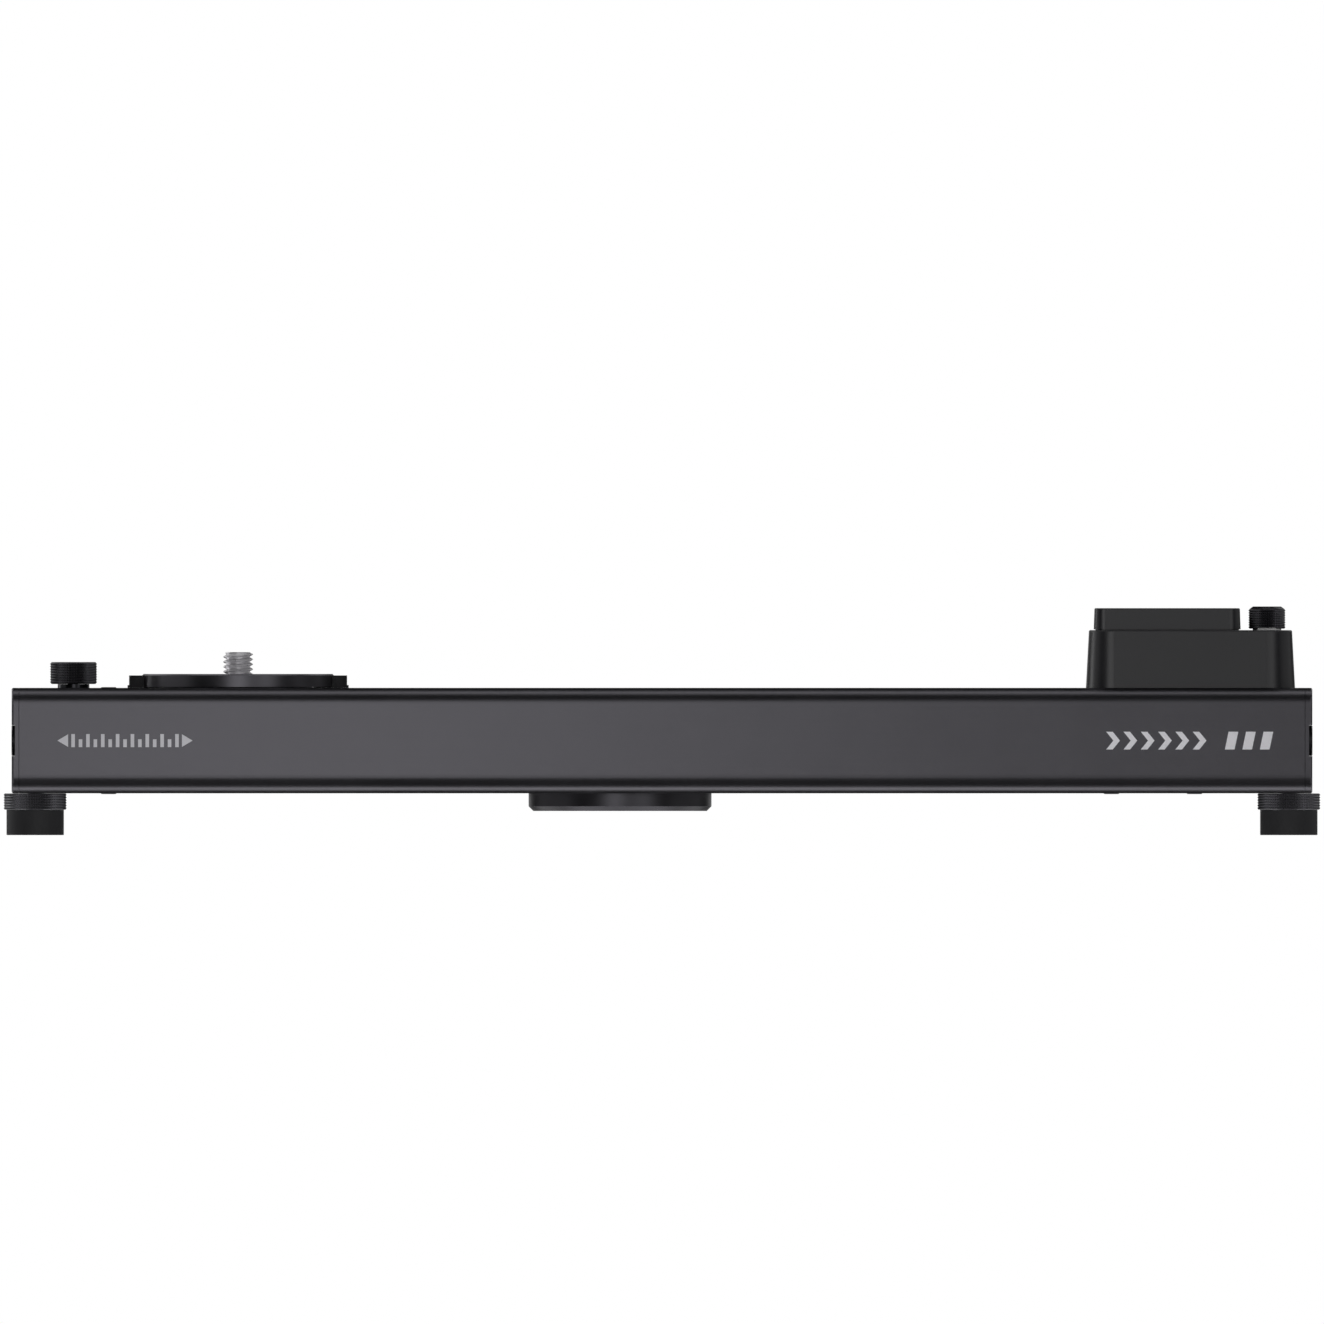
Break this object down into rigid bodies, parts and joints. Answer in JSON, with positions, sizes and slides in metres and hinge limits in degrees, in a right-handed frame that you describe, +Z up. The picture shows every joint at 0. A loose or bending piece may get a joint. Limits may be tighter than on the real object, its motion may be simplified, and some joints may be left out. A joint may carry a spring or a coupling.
{
  "type": "camera slider",
  "caption": "Low motorised camera slider: box rail with slot, round camera platform on a belt-driven carriage, lock knob, motor housing with control knob, screw feet.",
  "frame": {"origin": "on the surface that the feet stand on, under the middle of the rail", "axes": "+X along the rail towards the motor end, +Z up, front face towards -Y"},
  "size_m": [0.4222, 0.079, 0.0733],
  "materials": {
    "anodised": "satin, dark grey anodised",
    "machined_black": "satin, black anodised",
    "knurled_black": "knurled, black anodised",
    "black_steel": "black oxide, oiled",
    "bright_steel": "bright, ground",
    "nickel": "satin nickel",
    "pulley_alloy": "machined, bright",
    "brass": "machined",
    "rubber": "matt, moulded",
    "roller_polymer": "smooth, dark polymer",
    "nylon": "white nylon",
    "housing_paint": "fine texture, satin",
    "display_glass": "gloss, smoked",
    "board": "green solder mask",
    "battery_wrap": "blue shrink film"
  },
  "bodies": {
    "root": {"base_disc": "anodised", "base_disc_screws": "black_steel", "battery_pack": "battery_wrap", "bearing_block": "machined_black", "control_board": "board", "control_deck": "housing_paint", "display_module": "board", "display_window": "display_glass", "drive_belt": "rubber", "encoder_body": "housing_paint", "encoder_nut": "nickel", "end_blocks": "machined_black", "end_plate_left": "anodised", "end_plate_right": "anodised", "end_plate_screws": "black_steel", "guide_rods": "bright_steel", "housing_screws": "black_steel", "idler_axle": "bright_steel", "idler_cover": "anodised", "lock_bush": "black_steel", "motor_base_plate": "machined_black", "motor_can": "bright_steel", "motor_housing": "housing_paint", "rail_extrusion": "anodised", "rail_screws": "black_steel", "shaft_bearings": "bright_steel", "side_thread_inserts": "black_steel", "thread_adaptor": "brass", "usb_socket": "bright_steel"},
    "carriage": {"carriage_saddle": "machined_black", "camera_disc": "anodised", "grip_pad": "rubber", "camera_screw": "bright_steel", "carriage_bumpers": "rubber", "roller_axles": "black_steel", "belt_clamp": "machined_black", "carriage_screws": "black_steel"},
    "idler": {"idler_pulley": "pulley_alloy"},
    "drive": {"drive_shaft": "bright_steel", "drive_pulley": "pulley_alloy", "drive_gear": "brass"},
    "rotor": {"motor_rotor": "bright_steel"},
    "brake_pad": {"brake_pad": "nylon"},
    "lock_knob": {"lock_knob": "knurled_black"},
    "encoder_plunger": {"encoder_plunger": "bright_steel"},
    "control_knob": {"control_knob": "knurled_black"},
    "start_button": {"start_button": "housing_paint"},
    "direction_button": {"direction_button": "housing_paint"},
    "roller_front_left": {"roller_front_left": "roller_polymer"},
    "foot_pad_front_left": {"foot_pad_front_left": "rubber"},
    "foot_ring_front_left": {"foot_ring_front_left": "knurled_black"},
    "roller_front_right": {"roller_front_right": "roller_polymer"},
    "foot_pad_front_right": {"foot_pad_front_right": "rubber"},
    "foot_ring_front_right": {"foot_ring_front_right": "knurled_black"},
    "roller_back_left": {"roller_back_left": "roller_polymer"},
    "foot_pad_back_left": {"foot_pad_back_left": "rubber"},
    "foot_ring_back_left": {"foot_ring_back_left": "knurled_black"},
    "roller_back_right": {"roller_back_right": "roller_polymer"},
    "foot_pad_back_right": {"foot_pad_back_right": "rubber"},
    "foot_ring_back_right": {"foot_ring_back_right": "knurled_black"}
  },
  "joints": [
    {"name": "carriage_slide", "type": "slide", "parent": "root", "child": "carriage", "axis": [1, 0, 0], "range_m": [-0.0025, 0.235]},
    {"name": "idler_spin", "type": "hinge", "parent": "root", "child": "idler", "pos_m": [-0.1774, 0, 0.0273], "axis": [0, 0, 1], "range_deg": [-40.5, 2133]},
    {"name": "drive_spin", "type": "hinge", "parent": "root", "child": "drive", "pos_m": [0.1706, 0, 0.0273], "axis": [0, 0, 1], "range_deg": [-40.5, 2133]},
    {"name": "rotor_spin", "type": "hinge", "parent": "root", "child": "rotor", "pos_m": [0.183, 0.01632, 0.036], "axis": [0, 0, 1], "range_deg": [-7584, 144]},
    {"name": "roller_spin_front_left", "type": "hinge", "parent": "carriage", "child": "roller_front_left", "pos_m": [-0.1559, -0.02227, 0.0303], "axis": [0, 0, 1], "range_deg": [-2251.9, 42.8]},
    {"name": "roller_spin_front_right", "type": "hinge", "parent": "carriage", "child": "roller_front_right", "pos_m": [-0.1159, -0.02227, 0.0303], "axis": [0, 0, 1], "range_deg": [-2251.9, 42.8]},
    {"name": "roller_spin_back_left", "type": "hinge", "parent": "carriage", "child": "roller_back_left", "pos_m": [-0.1559, 0.02227, 0.0303], "axis": [0, 0, 1], "range_deg": [-42.8, 2251.9]},
    {"name": "roller_spin_back_right", "type": "hinge", "parent": "carriage", "child": "roller_back_right", "pos_m": [-0.1159, 0.02227, 0.0303], "axis": [0, 0, 1], "range_deg": [-42.8, 2251.9]},
    {"name": "brake_pad_lift", "type": "slide", "parent": "root", "child": "brake_pad", "axis": [0, 0, 1], "range_m": [0, 0.0014]},
    {"name": "lock_turn", "type": "hinge", "parent": "brake_pad", "child": "lock_knob", "pos_m": [-0.18865, 0, 0.052], "axis": [0, 0, 1], "range_deg": [0, 720]},
    {"name": "foot_extend_front_left", "type": "slide", "parent": "root", "child": "foot_pad_front_left", "axis": [0, 0, -1], "range_m": [0, 0.008]},
    {"name": "foot_turn_front_left", "type": "hinge", "parent": "foot_pad_front_left", "child": "foot_ring_front_left", "pos_m": [-0.20095, -0.02945, 0.0105], "axis": [0, 0, -1], "range_deg": [0, 2880]},
    {"name": "foot_extend_front_right", "type": "slide", "parent": "root", "child": "foot_pad_front_right", "axis": [0, 0, -1], "range_m": [0, 0.008]},
    {"name": "foot_turn_front_right", "type": "hinge", "parent": "foot_pad_front_right", "child": "foot_ring_front_right", "pos_m": [0.20095, -0.02945, 0.0105], "axis": [0, 0, -1], "range_deg": [0, 2880]},
    {"name": "foot_extend_back_left", "type": "slide", "parent": "root", "child": "foot_pad_back_left", "axis": [0, 0, -1], "range_m": [0, 0.008]},
    {"name": "foot_turn_back_left", "type": "hinge", "parent": "foot_pad_back_left", "child": "foot_ring_back_left", "pos_m": [-0.20095, 0.02945, 0.0105], "axis": [0, 0, -1], "range_deg": [0, 2880]},
    {"name": "foot_extend_back_right", "type": "slide", "parent": "root", "child": "foot_pad_back_right", "axis": [0, 0, -1], "range_m": [0, 0.008]},
    {"name": "foot_turn_back_right", "type": "hinge", "parent": "foot_pad_back_right", "child": "foot_ring_back_right", "pos_m": [0.20095, 0.02945, 0.0105], "axis": [0, 0, -1], "range_deg": [0, 2880]},
    {"name": "control_press", "type": "slide", "parent": "root", "child": "encoder_plunger", "axis": [0, 0, -1], "range_m": [0, 0.0004], "stiffness_N_per_m": 5000, "springref_m": -0.0004},
    {"name": "control_turn", "type": "hinge", "parent": "encoder_plunger", "child": "control_knob", "pos_m": [0.19395, 0, 0.07], "axis": [0, 0, 1], "continuous": true},
    {"name": "start_press", "type": "slide", "parent": "root", "child": "start_button", "axis": [0, 0, -1], "range_m": [0, 0.0005], "stiffness_N_per_m": 2500, "springref_m": -0.0004},
    {"name": "direction_press", "type": "slide", "parent": "root", "child": "direction_button", "axis": [0, 0, -1], "range_m": [0, 0.0005], "stiffness_N_per_m": 2500, "springref_m": -0.0004}
  ],
  "couplings": [
    {"joint": "idler_spin", "follows": "carriage_slide", "rad_per_m": 157.08},
    {"joint": "drive_spin", "follows": "carriage_slide", "rad_per_m": 157.08},
    {"joint": "rotor_spin", "follows": "carriage_slide", "rad_per_m": -558.51},
    {"joint": "roller_spin_front_left", "follows": "carriage_slide", "rad_per_m": -165.84},
    {"joint": "roller_spin_front_right", "follows": "carriage_slide", "rad_per_m": -165.84},
    {"joint": "roller_spin_back_left", "follows": "carriage_slide", "rad_per_m": 165.84},
    {"joint": "roller_spin_back_right", "follows": "carriage_slide", "rad_per_m": 165.84},
    {"joint": "brake_pad_lift", "follows": "lock_turn", "m_per_rad": 0.00011141},
    {"joint": "foot_extend_front_left", "follows": "foot_turn_front_left", "m_per_rad": 0.00015915},
    {"joint": "foot_extend_front_right", "follows": "foot_turn_front_right", "m_per_rad": 0.00015915},
    {"joint": "foot_extend_back_left", "follows": "foot_turn_back_left", "m_per_rad": 0.00015915},
    {"joint": "foot_extend_back_right", "follows": "foot_turn_back_right", "m_per_rad": 0.00015915}
  ]
}
